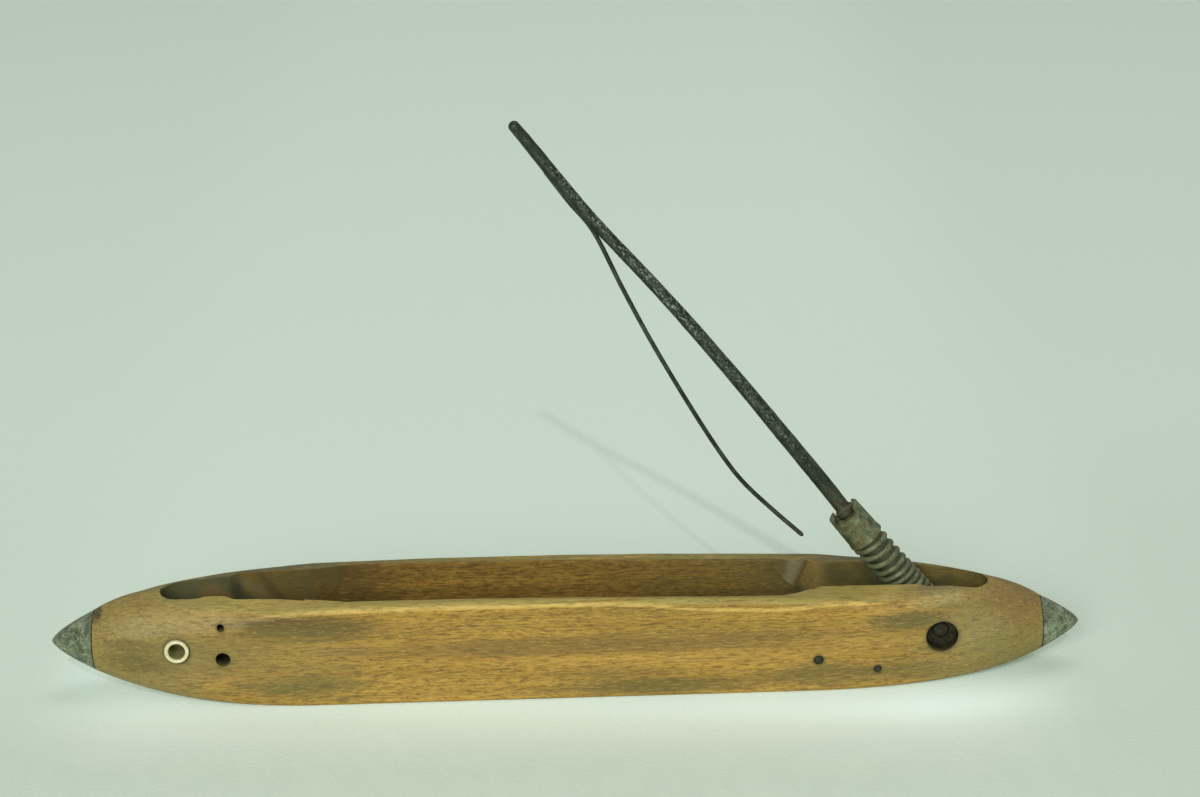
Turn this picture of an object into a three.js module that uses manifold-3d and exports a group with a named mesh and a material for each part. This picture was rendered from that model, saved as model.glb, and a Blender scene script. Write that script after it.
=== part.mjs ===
// A weaving shuttle with its tongue raised: a boat-shaped wooden body with a long open well, a steel
// point on each end, a porcelain thread eye, and a hinged steel tongue that holds the pirn.
// Millimetres. X runs along the shuttle towards the tongue's hinge, Y away from the wall with the
// thread eye, Z up. The origin is on the flat underside, below the middle of the shuttle.
import * as THREE from "three";
import { mergeVertices } from "three/addons/utils/BufferGeometryUtils.js";
import Module from "manifold-3d";

const wasm = await Module();
wasm.setup();

// Driving dimensions: the wooden body
const shuttleLength = 400;
const bodyWidth = 46.2;
const axisHeight = 18.7; // line from point to point, above the underside at mid length
const axisFall = 4.5; // the underside is planed at a slight angle to that line
const deckRise = 20.8; // top of the body above that line
const deckFall = 5; // the top drops towards the hinge's end
const deckCrown = 1.9; // and swells along the middle
const crownFromTip = 90; // where the swell ends
const taperFromTip = 102; // where the body starts to taper
const shoulderRound = 2.3;
const bottomRound = 2;
const floorThickness = 5;
const leftFloorThickness = 9; // under the left slot, which is cut less deep

// How the body runs out to its points, from u = 0 where the taper starts to u = 1 at the point's base
const sidePower = 3; // the sides draw in as 1 - u ** sidePower, and the rest alike
const topPower = 5.5;
const leftBottomPower = 3.2; // the left end lifts earlier and more gently than the right one
const rightBottomLifts = 0.2; // the right end stays flat up to this u
const rightBottomPower = 4.7;
const shoulderRoundsBy = 0.78; // the shoulders are fully round from this u on
const shoulderRoundPower = 1.25;
const bottomRoundPower = 1.5;
const roundest = 0.96; // a full corner radius, as a share of the half width or height

// Driving dimensions: the steel points and the tangs that hold them
const leftPointDiameter = 23.6;
const leftPointLength = 17.3;
const rightPointDiameter = 20.7;
const rightPointLength = 15;
const pointSwell = 0.7; // power of the point's profile: 1 is a plain cone
const tangDiameter = 8;
const tangLength = 14;

// Driving dimensions: the well, in plan, as distances from the tips, lengths and half widths
const wellHalfWidth = 17.2;
const wellFromLeftTip = 109;
const wellFromRightTip = 110;
const rightStepLength = 8.5;
const rightSlotHalf = 11.3;
const rightSlotStraight = 19.5;
const rightEndHalf = 8.2;
const rightEndWall = 20.9; // wood between the slot and the right point
const leftStepLength = 8;
const leftSlotHalf = 14.7;
const leftSlotLength = 27;
const leftStepHalf = 12.6;
const leftNeckLength = 5;
const leftNeckHalf = 9.4;
const leftEndHalf = 8.6;
const leftEndWall = 26.7; // wood between the slot and the left point
const webDepth = 12; // webs of wood in the wide well's corners, widest at the rim
const webAlongWell = 5;
const webAlongStep = 4.8;

// Driving dimensions: thread eye and plain holes in the front wall
const eyeFromTip = 51.4;
const eyeRise = 3.7;
const eyeDiameter = 9.8;
const eyeBore = 6.2;
const eyeProud = 0.8;
const eyeLip = 1.2;
const holesFromTip = 69;
const upperHoleRise = 13.7;
const upperHoleDiameter = 3;
const lowerHoleRise = 0.6;
const lowerHoleDiameter = 5.7;

// Driving dimensions: hinge of the tongue
const hingeFromTip = 55.4;
const hingeRise = 3.9;
const hingeBore = 12.4; // wide recess that shows in the wall
const hingeBoreDepth = 6.5;
const hingePinDiameter = 6;
const hingePinProud = 0.5; // how far the pin's end stands into the recess
const heelDiameter = 12.6;
const heelSideGap = 0.8;

// Driving dimensions: the tongue
const tongueAngle = 52; // above level, as raised
const tongueLength = 257;
const shankDiameter = 8; // inside the coil
const tongueRootDiameter = 5.8; // above the collar's foot
const tongueTipDiameter = 4.3;
const tongueBend = 1.2; // the old steel waves a little to either side
const collarDiameter = 13.2;
const collarLength = 15;
const collarTop = 57.8;
const collarFlare = 0.6;
const collarSlotWidth = 8.6;
const collarSlotDepth = 2.2;
const rootShoulderDiameter = 7.8;
const rootShoulderHeight = 3;

// Driving dimensions: the coil spring round the tongue's heel
const coilDiameter = 14.2;
const coilWire = 2.3;
const coilPitch = 4; // over the upper turns
const coilEndTurns = 0.5; // the wire levels out over its last turns below the collar
const coilEvenTurns = 2.75; // turns down from the collar at which the pitch starts to shrink
const coilCloseTurns = 4.75; // and at which it is down to the fine pitch
const coilFinePitch = 2.85;
const coilRightTurn = 0.75; // where the wire first passes the tongue's upper side

// Driving dimensions: the bowed wire that grips the pirn
const gripWire = 1.75;
const gripSunk = 0.95; // depth of the wire in the tongue's groove
const gripStart = 235;
const gripLeaves = 205;
const gripBow = 23.2; // furthest from the tongue's straight line
const gripBowAt = 92;
const gripEnd = 59.4;
const gripEndOffset = 19.4;

// Driving dimensions: cross pins and the flat spring under the heel
const outerPinFromHinge = 47.6;
const outerPinRise = -4.1;
const outerPinDiameter = 3.3;
const innerPinFromHinge = 25;
const innerPinRise = -8.4;
const innerPinDiameter = 2.4;
const pinRecess = 0.3;
const leafThickness = 1.2;
const leafWidth = 9;
const leafOverhang = 6;

// Named clearances
const fit = 0.3;

// Materials: colour, roughness, metalness
const material = (color, roughness, metalness) =>
  new THREE.MeshStandardMaterial({ color, roughness, metalness });
const wood = () => material(0xa98a57, 0.6, 0);
const wornSteel = () => material(0x5f6358, 0.5, 0.8);
const rustySteel = () => material(0x77705a, 0.7, 0.6);
const porcelain = () => material(0xe4dcc4, 0.25, 0);

// Lines and levels that several pieces share
const fullCircle = 2 * Math.PI;
const quarterTurn = Math.PI / 2;
const tip = shuttleLength / 2;
const leftBase = tip - leftPointLength;
const rightBase = tip - rightPointLength;
const straightHalf = tip - taperFromTip;
const crownHalf = tip - crownFromTip;
const eyeX = eyeFromTip - tip;
const holesX = holesFromTip - tip;
const hingeX = tip - hingeFromTip;
const outerPinX = hingeX - outerPinFromHinge;
const innerPinX = hingeX - innerPinFromHinge;
const axisZ = (x) => axisHeight - (axisFall * x) / shuttleLength;
const crownAt = (x) => deckCrown * Math.max(0, 1 - (x / crownHalf) ** 2);
const deckZ = (x) => axisHeight + deckRise - (deckFall * x) / shuttleLength + crownAt(x);
const hinge = new THREE.Vector3(hingeX, 0, axisZ(hingeX) + hingeRise);
const outerPin = new THREE.Vector3(outerPinX, 0, axisZ(outerPinX) + outerPinRise);
const innerPin = new THREE.Vector3(innerPinX, 0, axisZ(innerPinX) + innerPinRise);
const aboveDeck = deckZ(-tip) + 1;

// Solids and meshes
function solidOf(geometry) {
  const bare = geometry.clone();
  bare.deleteAttribute("normal");
  bare.deleteAttribute("uv");
  const merged = mergeVertices(bare, 1e-4);
  return new wasm.Manifold(
    new wasm.Mesh({
      numProp: 3,
      vertProperties: merged.attributes.position.array,
      triVerts: new Uint32Array(merged.index.array),
    }),
  );
}

function geometryOf(solid) {
  const mesh = solid.getMesh();
  const geometry = new THREE.BufferGeometry();
  geometry.setAttribute("position", new THREE.BufferAttribute(mesh.vertProperties, 3));
  geometry.setIndex(new THREE.BufferAttribute(mesh.triVerts, 1));
  geometry.computeVertexNormals();
  return geometry;
}

function named(name, geometry, finish) {
  const mesh = new THREE.Mesh(geometry, finish);
  mesh.name = name;
  return mesh;
}

// A closed solid through rings of equally many points, each ring anticlockwise seen from its far side
function loft(rings) {
  const count = rings[0].length;
  const index = [];
  for (let r = 0; r + 1 < rings.length; r++) {
    for (let i = 0; i < count; i++) {
      const here = r * count + i;
      const next = r * count + ((i + 1) % count);
      index.push(here, next, here + count);
      index.push(next, next + count, here + count);
    }
  }
  const last = (rings.length - 1) * count;
  for (let i = 1; i + 1 < count; i++) {
    index.push(0, i + 1, i);
    index.push(last, last + i, last + i + 1);
  }
  const geometry = new THREE.BufferGeometry().setFromPoints(rings.flat());
  geometry.setIndex(index);
  return geometry;
}

// A rod along Y, centred on y = 0 unless it is given its two ends
function rodAlongY(radius, x, z, low, high, sides = 24) {
  const rod = new THREE.CylinderGeometry(radius, radius, high - low, sides);
  return rod.translate(x, (low + high) / 2, z);
}

// A plate whose outline lies in the XZ plane, centred on y = 0
function plateAcrossY(shape, width) {
  const plate = new THREE.ExtrudeGeometry(shape, { depth: width, bevelEnabled: false });
  return plate.rotateX(quarterTurn).translate(0, width / 2, 0);
}

// The body's cross-section at x: half width, heights above and below the axis, corner radii
function section(x) {
  const radius = (x < 0 ? leftPointDiameter : rightPointDiameter) / 2;
  const base = x < 0 ? leftBase : rightBase;
  const u = THREE.MathUtils.clamp((Math.abs(x) - straightHalf) / (base - straightHalf), 0, 1);
  const late = THREE.MathUtils.clamp((u - rightBottomLifts) / (1 - rightBottomLifts), 0, 1);
  const lift = x < 0 ? u ** leftBottomPower : late ** rightBottomPower;
  const half = radius + (bodyWidth / 2 - radius) * (1 - u ** sidePower);
  const top = radius + (deckZ(x) - axisZ(x) - radius) * (1 - u ** topPower);
  const bottom = radius + (axisZ(x) - radius) * (1 - lift);
  const fullTop = roundest * Math.min(half, top);
  const fullBottom = roundest * Math.min(half, bottom);
  const rounding = Math.min(1, (u / shoulderRoundsBy) ** shoulderRoundPower);
  const topRound = THREE.MathUtils.lerp(shoulderRound, fullTop, rounding);
  const lowRound = THREE.MathUtils.lerp(bottomRound, fullBottom, u ** bottomRoundPower);
  return { half, top, bottom, topRound, lowRound };
}

function sectionRing(x) {
  const { half, top, bottom, topRound, lowRound } = section(x);
  const cornerSteps = 6;
  const corners = [
    { y: half - topRound, z: top - topRound, r: topRound },
    { y: topRound - half, z: top - topRound, r: topRound },
    { y: lowRound - half, z: lowRound - bottom, r: lowRound },
    { y: half - lowRound, z: lowRound - bottom, r: lowRound },
  ];
  return corners.flatMap((corner, quarter) =>
    Array.from({ length: cornerSteps + 1 }, (_, step) => {
      const angle = quarterTurn * (quarter + step / cornerSteps);
      const y = corner.y + corner.r * Math.cos(angle);
      const z = corner.z + corner.r * Math.sin(angle);
      return new THREE.Vector3(x, y, axisZ(x) + z);
    }),
  );
}

function hullGeometry() {
  const taperSteps = 12;
  const crownSteps = 8;
  const stations = [];
  for (let step = taperSteps; step >= 0; step--) {
    const u = Math.sin((quarterTurn * step) / taperSteps);
    stations.push(-(straightHalf + (leftBase - fit - straightHalf) * u));
  }
  for (let step = 1; step < crownSteps; step++) {
    stations.push(straightHalf * ((2 * step) / crownSteps - 1));
  }
  for (let step = 0; step <= taperSteps; step++) {
    const u = Math.sin((quarterTurn * step) / taperSteps);
    stations.push(straightHalf + (rightBase - fit - straightHalf) * u);
  }
  return loft(stations.map(sectionRing));
}

const boreFloor = section(hingeX).half - hingeBoreDepth;

// Plan of the well: the back half from left to right, then the front half mirrored
const wellLeft = wellFromLeftTip - tip;
const wellRight = tip - wellFromRightTip;
const rightRoundAt = rightBase - rightEndWall - rightEndHalf;
const leftRoundAt = leftBase - leftEndWall - leftEndHalf;
function wellShape() {
  const back = [
    [wellLeft - leftStepLength - leftSlotLength - leftNeckLength, leftNeckHalf],
    [wellLeft - leftStepLength - leftSlotLength, leftStepHalf],
    [wellLeft - leftStepLength, leftSlotHalf],
    [wellLeft, wellHalfWidth],
    [wellRight, wellHalfWidth],
    [wellRight + rightStepLength, rightSlotHalf],
    [wellRight + rightStepLength + rightSlotStraight, rightSlotHalf],
  ];
  const shape = new THREE.Shape();
  shape.absarc(-leftRoundAt, 0, leftEndHalf, 3 * quarterTurn, quarterTurn, true);
  back.forEach(([x, half]) => shape.lineTo(x, half));
  shape.absarc(rightRoundAt, 0, rightEndHalf, quarterTurn, -quarterTurn, true);
  back.reverse().forEach(([x, half]) => shape.lineTo(x, -half));
  return shape;
}

// A web left in the corner where the well starts to narrow: a wedge from a point up to the rim
function cornerWeb(x, towards, stepLength, slotHalf, side) {
  const web = (z, part) => {
    const stepPart = (webAlongStep * part) / stepLength;
    const stepHalf = THREE.MathUtils.lerp(wellHalfWidth, slotHalf, stepPart);
    const ring = [
      new THREE.Vector3(x - towards * webAlongWell * part, side * wellHalfWidth, z),
      new THREE.Vector3(x + towards * webAlongStep * part, side * stepHalf, z),
      new THREE.Vector3(x, side * (wellHalfWidth + part), z),
    ];
    return side * towards > 0 ? ring : ring.reverse();
  };
  const rim = deckZ(x);
  const aboveRim = (aboveDeck + 1 - rim + webDepth) / webDepth;
  return loft([web(rim - webDepth, 0.01), web(aboveDeck + 1, aboveRim)]);
}

// Wooden body
function bodyGeometry() {
  const wellBlock = new THREE.ExtrudeGeometry(wellShape(), {
    depth: aboveDeck - floorThickness,
    bevelEnabled: false,
    curveSegments: 10,
  }).translate(0, 0, floorThickness);
  const webs = [-1, 1].flatMap((side) => [
    cornerWeb(wellLeft, -1, leftStepLength, leftSlotHalf, side),
    cornerWeb(wellRight, 1, rightStepLength, rightSlotHalf, side),
  ]);
  const shelf = new THREE.BoxGeometry(tip, bodyWidth, leftFloorThickness);
  shelf.translate(wellLeft - leftStepLength - tip / 2, 0, leftFloorThickness / 2);
  const kept = [...webs, shelf];
  const well = kept.reduce((block, piece) => block.subtract(solidOf(piece)), solidOf(wellBlock));
  const frontHalf = section(eyeX).half + 1;
  const backHalf = bodyWidth / 2 + 1;
  const holesZ = axisZ(holesX);
  const eyeZ = axisZ(eyeX) + eyeRise;
  const cuts = [
    rodAlongY(eyeDiameter / 2 + fit, eyeX, eyeZ, -frontHalf, 0),
    rodAlongY(upperHoleDiameter / 2, holesX, holesZ + upperHoleRise, -backHalf, 0, 12),
    rodAlongY(lowerHoleDiameter / 2, holesX, holesZ + lowerHoleRise, -backHalf, 0, 16),
    rodAlongY(hingePinDiameter / 2 + fit, hinge.x, hinge.z, -backHalf, backHalf, 16),
    rodAlongY(hingeBore / 2, hinge.x, hinge.z, -backHalf, -boreFloor),
    rodAlongY(hingeBore / 2, hinge.x, hinge.z, boreFloor, backHalf),
    rodAlongY(outerPinDiameter / 2 + fit, outerPin.x, outerPin.z, -backHalf, backHalf, 12),
    rodAlongY(innerPinDiameter / 2 + fit, innerPin.x, innerPin.z, -backHalf, backHalf, 12),
    tangHole(-leftBase),
    tangHole(rightBase),
  ];
  const block = solidOf(hullGeometry()).subtract(well);
  return geometryOf(cuts.reduce((body, cut) => body.subtract(solidOf(cut)), block));
}

function tangHole(base) {
  const length = 2 * (tangLength + fit);
  const hole = new THREE.CylinderGeometry(tangDiameter / 2 + fit, tangDiameter / 2 + fit, length, 16);
  return hole.rotateZ(quarterTurn).translate(base, 0, axisZ(base));
}

// Steel points: a swelling cone on a round tang, turned about the shuttle's axis
function pointGeometry(diameter, length, side) {
  const steps = 9;
  const profile = [new THREE.Vector2(0, -tangLength)];
  profile.push(new THREE.Vector2(tangDiameter / 2, -tangLength));
  profile.push(new THREE.Vector2(tangDiameter / 2, 0));
  for (let step = 0; step < steps; step++) {
    const fromTip = (1 - step / steps) ** 1.5;
    profile.push(new THREE.Vector2((diameter / 2) * fromTip ** pointSwell, length * (1 - fromTip)));
  }
  profile.push(new THREE.Vector2(0, length));
  const point = new THREE.LatheGeometry(profile, 28);
  const base = side * (side < 0 ? leftBase : rightBase);
  return point.rotateZ(-side * quarterTurn).translate(base, 0, axisZ(base));
}

// Porcelain thread eye, turned about Y, with its rounded lip in front
function eyeGeometry() {
  const face = section(eyeX).half + eyeProud;
  const inner = leftEndHalf + fit;
  const outside = eyeDiameter / 2;
  const bore = eyeBore / 2;
  const lipMiddle = (outside + bore) / 2;
  const lipHalf = (outside - bore) / 2;
  const profile = [new THREE.Vector2(bore, inner), new THREE.Vector2(outside, inner)];
  const lipSteps = 6;
  for (let step = 0; step <= lipSteps; step++) {
    const angle = (Math.PI * step) / lipSteps;
    const x = lipMiddle + lipHalf * Math.cos(angle);
    profile.push(new THREE.Vector2(x, face - eyeLip + eyeLip * Math.sin(angle)));
  }
  profile.push(new THREE.Vector2(bore, inner));
  const eye = new THREE.LatheGeometry(profile, 24);
  return eye.rotateX(Math.PI).translate(eyeX, 0, axisZ(eyeX) + eyeRise);
}

// The tongue's own frame: the hinge is the origin, Z runs up the rod and X towards its upper side
const tongueFrame = new THREE.Group();
tongueFrame.position.copy(hinge);
tongueFrame.rotation.y = THREE.MathUtils.degToRad(tongueAngle - 90);
const bendAt = (s) => -tongueBend * Math.sin((3 * Math.PI * s) / tongueLength);
const rodRadiusAt = (s) =>
  THREE.MathUtils.lerp(tongueRootDiameter, tongueTipDiameter, s / tongueLength) / 2;

function rodRing(s, radius) {
  const sides = 12;
  return Array.from({ length: sides }, (_, i) => {
    const angle = (fullCircle * i) / sides;
    return new THREE.Vector3(bendAt(s) + radius * Math.cos(angle), radius * Math.sin(angle), s);
  });
}

function tongueGeometry() {
  const rodSteps = 26;
  const tipRound = tongueTipDiameter / 2;
  const shoulderBottom = collarTop - collarSlotDepth + fit;
  const shoulderTop = shoulderBottom + rootShoulderHeight;
  const shoulder = rootShoulderDiameter / 2;
  const shankTop = collarTop - collarLength - fit;
  const rings = [
    rodRing(0, shankDiameter / 2),
    rodRing(shankTop / 2, shankDiameter / 2),
    rodRing(shankTop - fit, shankDiameter / 2),
    rodRing(shankTop, rodRadiusAt(shankTop)),
    rodRing(shoulderBottom - fit, rodRadiusAt(shoulderBottom)),
    rodRing(shoulderBottom, shoulder),
    rodRing(shoulderTop - 1, shoulder),
  ];
  for (let step = 0; step <= rodSteps; step++) {
    const s = THREE.MathUtils.lerp(shoulderTop, tongueLength - tipRound, step / rodSteps);
    rings.push(rodRing(s, rodRadiusAt(s)));
  }
  rings.push(rodRing(tongueLength - 0.3 * tipRound, 0.7 * tipRound));
  rings.push(rodRing(tongueLength, 0.3 * tipRound));
  const heelHalf = rightEndHalf - heelSideGap;
  const heel = solidOf(rodAlongY(heelDiameter / 2, 0, 0, -heelHalf, heelHalf, 32));
  const pinBore = rodAlongY(hingePinDiameter / 2 + fit, 0, 0, -bodyWidth / 2, bodyWidth / 2, 16);
  const groove = solidOf(gripGeometry(gripWire / 2 + fit, 8));
  return geometryOf(solidOf(loft(rings)).add(heel).subtract(solidOf(pinBore)).subtract(groove));
}

// Collar with a slot across its top for the rod's shoulder
function collarGeometry() {
  const outside = collarDiameter / 2;
  const bottom = collarTop - collarLength;
  const bore = rodRadiusAt(bottom) + fit;
  const flareHeight = 2;
  const profile = [
    new THREE.Vector2(bore, bottom),
    new THREE.Vector2(outside + collarFlare, bottom),
    new THREE.Vector2(outside, bottom + flareHeight),
    new THREE.Vector2(outside, collarTop),
    new THREE.Vector2(bore, collarTop),
    new THREE.Vector2(bore, bottom),
  ];
  const collar = new THREE.LatheGeometry(profile, 28).rotateX(quarterTurn);
  const slot = new THREE.BoxGeometry(collarSlotWidth, 2 * collarDiameter, 2 * collarSlotDepth);
  slot.translate(0, 0, collarTop);
  const middle = bendAt(collarTop - collarLength / 2);
  return geometryOf(solidOf(collar).subtract(solidOf(slot))).translate(middle, 0, 0);
}

// Coil spring, wound closer towards the heel. Turns are counted down from the collar.
const coilBottom = heelDiameter / 2 + coilWire / 2 + fit;
const coilTop = collarTop - collarLength - coilWire / 2 - fit;
function coilDrop(turns) {
  const levelled = Math.min(turns, coilEndTurns);
  const closing = THREE.MathUtils.clamp(turns - coilEvenTurns, 0, coilCloseTurns - coilEvenTurns);
  const evenly = levelled ** 2 / (2 * coilEndTurns) + Math.max(0, turns - coilEndTurns);
  const lost =
    closing ** 2 / (2 * (coilCloseTurns - coilEvenTurns)) + Math.max(0, turns - coilCloseTurns);
  return coilPitch * evenly - (coilPitch - coilFinePitch) * lost;
}
const coilTurns =
  coilCloseTurns + (coilTop - coilBottom - coilDrop(coilCloseTurns)) / coilFinePitch;
class CoilPath extends THREE.Curve {
  getPoint(t) {
    const turns = (1 - t) * coilTurns;
    const s = coilTop - coilDrop(turns);
    const radius = (coilDiameter - coilWire) / 2;
    const angle = fullCircle * (turns - coilRightTurn);
    const middle = bendAt(s);
    return new THREE.Vector3(middle + radius * Math.cos(angle), radius * Math.sin(angle), s);
  }
}

function wireAlong(path, radius, sides, steps) {
  const ring = new THREE.Shape();
  for (let side = 0; side < sides; side++) {
    const angle = (fullCircle * side) / sides;
    const x = radius * Math.cos(angle);
    const y = radius * Math.sin(angle);
    if (side === 0) ring.moveTo(x, y);
    else ring.lineTo(x, y);
  }
  return new THREE.ExtrudeGeometry(ring, { extrudePath: path, steps, bevelEnabled: false });
}

function coilGeometry() {
  return wireAlong(new CoilPath(), coilWire / 2, 5, Math.round(8 * coilTurns));
}

function leastCoilGap() {
  const path = new CoilPath();
  const perTurn = 48;
  const count = Math.round(perTurn * coilTurns);
  const points = path.getPoints(count);
  let least = Infinity;
  for (let i = 0; i < points.length; i++)
    for (let j = i + perTurn / 2; j < points.length; j++)
      least = Math.min(least, points[i].distanceTo(points[j]));
  return least - coilWire;
}
console.log("coil_spring: least gap to itself " + leastCoilGap().toFixed(2) + " mm");

// Bowed wire that grips the pirn: sunk in the tongue's underside, then bowed away from it
function gripPath() {
  const sunkAt = (s) => bendAt(s) - rodRadiusAt(s) - gripWire / 2 + gripSunk;
  const beyond = (s) => gripLeaves + (gripBowAt - gripLeaves) * s;
  const bowed = (part) => sunkAt(gripLeaves) - (gripBow + sunkAt(gripLeaves)) * part;
  return new THREE.CatmullRomCurve3([
    new THREE.Vector3(sunkAt(gripStart), 0, gripStart),
    new THREE.Vector3(sunkAt((gripStart + gripLeaves) / 2), 0, (gripStart + gripLeaves) / 2),
    new THREE.Vector3(sunkAt(gripLeaves), 0, gripLeaves),
    new THREE.Vector3(bowed(0.29), 0, beyond(0.21)),
    new THREE.Vector3(bowed(0.55), 0, beyond(0.42)),
    new THREE.Vector3(bowed(0.79), 0, beyond(0.66)),
    new THREE.Vector3(bowed(0.95), 0, beyond(0.86)),
    new THREE.Vector3(-gripBow, 0, gripBowAt),
    new THREE.Vector3((-gripBow - gripEndOffset) / 2 - 0.4, 0, (gripBowAt + gripEnd) / 2),
    new THREE.Vector3(-gripEndOffset, 0, gripEnd),
  ]);
}

function gripGeometry(radius, sides) {
  return wireAlong(gripPath(), radius, sides, 44);
}

// Flat spring under the heel: below the outer pin, over the inner pin, and up under the heel
function leafGeometry() {
  const half = leafThickness / 2;
  const heelZ = hinge.z - heelDiameter / 2 - fit - half;
  const outerZ = outerPin.z - outerPinDiameter / 2 - fit - half;
  const innerZ = innerPin.z + innerPinDiameter / 2 + fit + half;
  const path = new THREE.CatmullRomCurve3([
    new THREE.Vector3(outerPin.x - leafOverhang, 0, outerZ - 0.4),
    new THREE.Vector3(outerPin.x, 0, outerZ),
    new THREE.Vector3(innerPin.x, 0, innerZ),
    new THREE.Vector3(hinge.x, 0, heelZ),
    new THREE.Vector3(hinge.x + leafOverhang, 0, heelZ - 0.4),
  ]);
  const points = path.getPoints(16);
  const offset = (side) =>
    points.map((point, i) => {
      const tangent = path.getTangent(i / (points.length - 1));
      return new THREE.Vector2(point.x - side * half * tangent.z, point.z + side * half * tangent.x);
    });
  const outline = new THREE.Shape([...offset(-1), ...offset(1).reverse()]);
  return plateAcrossY(outline, leafWidth);
}

function crossPin(place, diameter) {
  const end = section(place.x).half - pinRecess;
  return rodAlongY(diameter / 2, place.x, place.z, -end, end, 12);
}

function hingePinGeometry() {
  const end = boreFloor + hingePinProud;
  return rodAlongY(hingePinDiameter / 2, hinge.x, hinge.z, -end, end, 16);
}

// Assembly
const leftPoint = pointGeometry(leftPointDiameter, leftPointLength, -1);
const rightPoint = pointGeometry(rightPointDiameter, rightPointLength, 1);
tongueFrame.add(
  named("tongue_rod", tongueGeometry(), wornSteel()),
  named("tongue_collar", collarGeometry(), rustySteel()),
  named("coil_spring", coilGeometry(), rustySteel()),
  named("grip_spring", gripGeometry(gripWire / 2, 6), wornSteel()),
);

const shuttle = new THREE.Group();
shuttle.add(
  named("shuttle_body", bodyGeometry(), wood()),
  named("left_point", leftPoint, wornSteel()),
  named("right_point", rightPoint, wornSteel()),
  named("thread_eye", eyeGeometry(), porcelain()),
  named("hinge_pin", hingePinGeometry(), wornSteel()),
  named("outer_cross_pin", crossPin(outerPin, outerPinDiameter), rustySteel()),
  named("inner_cross_pin", crossPin(innerPin, innerPinDiameter), rustySteel()),
  named("heel_spring", leafGeometry(), wornSteel()),
  tongueFrame,
);

export default shuttle;
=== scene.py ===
from math import atan2, cos, pi, radians, sin

import bmesh
import bpy
from mathutils import Matrix, Vector, noise


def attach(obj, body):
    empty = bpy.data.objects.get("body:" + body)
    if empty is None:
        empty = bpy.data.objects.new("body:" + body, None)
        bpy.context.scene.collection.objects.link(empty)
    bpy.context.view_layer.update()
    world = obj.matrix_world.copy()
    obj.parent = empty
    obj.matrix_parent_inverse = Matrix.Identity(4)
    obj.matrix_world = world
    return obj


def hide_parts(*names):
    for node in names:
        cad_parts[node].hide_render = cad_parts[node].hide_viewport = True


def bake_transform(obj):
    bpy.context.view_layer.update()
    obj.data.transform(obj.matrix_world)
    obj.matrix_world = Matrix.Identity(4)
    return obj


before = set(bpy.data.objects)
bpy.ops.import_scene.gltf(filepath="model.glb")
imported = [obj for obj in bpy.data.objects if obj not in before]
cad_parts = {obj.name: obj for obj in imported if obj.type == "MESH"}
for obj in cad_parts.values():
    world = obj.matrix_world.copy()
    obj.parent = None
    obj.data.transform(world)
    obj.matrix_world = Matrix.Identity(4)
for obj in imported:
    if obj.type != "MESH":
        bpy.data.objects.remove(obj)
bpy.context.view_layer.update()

# Lengths are in millimetres until a piece is finished. X runs towards the tongue's hinge, Y away from
# the wall with the thread eye, Z up.
MM = 0.001
TURN = 2 * pi

# The wooden body
LENGTH = 400.0
HALF_WIDTH = 23.1
AXIS_HEIGHT, AXIS_FALL = 18.7, 4.5
DECK_RISE, DECK_FALL = 20.8, 5.0
CROWN, CROWN_HALF = 1.9, 110.0
STRAIGHT_HALF = 98.0
LEFT_BASE, RIGHT_BASE = 182.7, 185.0
LEFT_RADIUS, RIGHT_RADIUS = 11.8, 10.35
SHOULDER_ROUND, BOTTOM_ROUND = 2.3, 2.0
# Powers of the way to the end: how late the body narrows, falls and lifts off the floor
NARROWING, FALLING = 3, 5.5
LEFT_LIFT, RIGHT_LIFT = 3.2, 4.7
RIGHT_LIFT_START = 0.2
# Room that the steel leaves at its ends
FIT = 0.3

# Half widths of the well's rim, as (x, half width)
RIM = (
    (-147.4, 8.6), (-143, 9.1), (-136, 8.9), (-130.5, 9.3), (-126, 12.5), (-110, 13.4), (-98.5, 15.0),
    (-91, 17.0), (-84, 17.3), (-20, 17.3), (60, 17.2), (91, 16.9), (93, 16.2), (98, 11.9), (100, 11.5),
    (111, 11.35), (137, 10.1), (151, 8.8), (155.9, 8.2),
)
# How far the rim stands above the plain deck line, as (x, lift)
RIM_LIFT = (
    (-160, 0.4), (-126, 0.85), (-110, 1.0), (-98, 0.4), (-84, 0.25), (-48, -0.35), (-6, -0.9),
    (33, -1.2), (60, -1.3), (75, -0.95), (88, -0.5), (98, 1.0), (111, 1.35), (130, 1.1), (150, 1.7),
    (159, 1.8), (170, 0.2),
)
LIP = 0.7
# Webs in the wide well's corners: wall, rim, apex, inner corner, and points of the soft edge
LEFT_WEB = (
    17.4, (-84.5, 41.3), (-92.4, 16.9, 30.0), (-99.2, 14.3, 41.6),
    ((-84.2, 17.4, 38.6), (-85.4, 17.4, 35.6), (-88.4, 17.3, 32.4)),
)
RIGHT_WEB = (
    17.3, (85.6, 38.6), (90.4, 16.9, 26.7), (95.4, 13.5, 39.6),
    ((84.0, 17.3, 35.8), (83.4, 17.3, 32.6), (85.2, 17.3, 29.4)),
)
WELL_FLOOR, SLOT_FLOOR = 5.0, 9.0
SLOT_START, SLOT_RAMP = -96, 5
FLOOR_FILLET = 4.0

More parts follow.
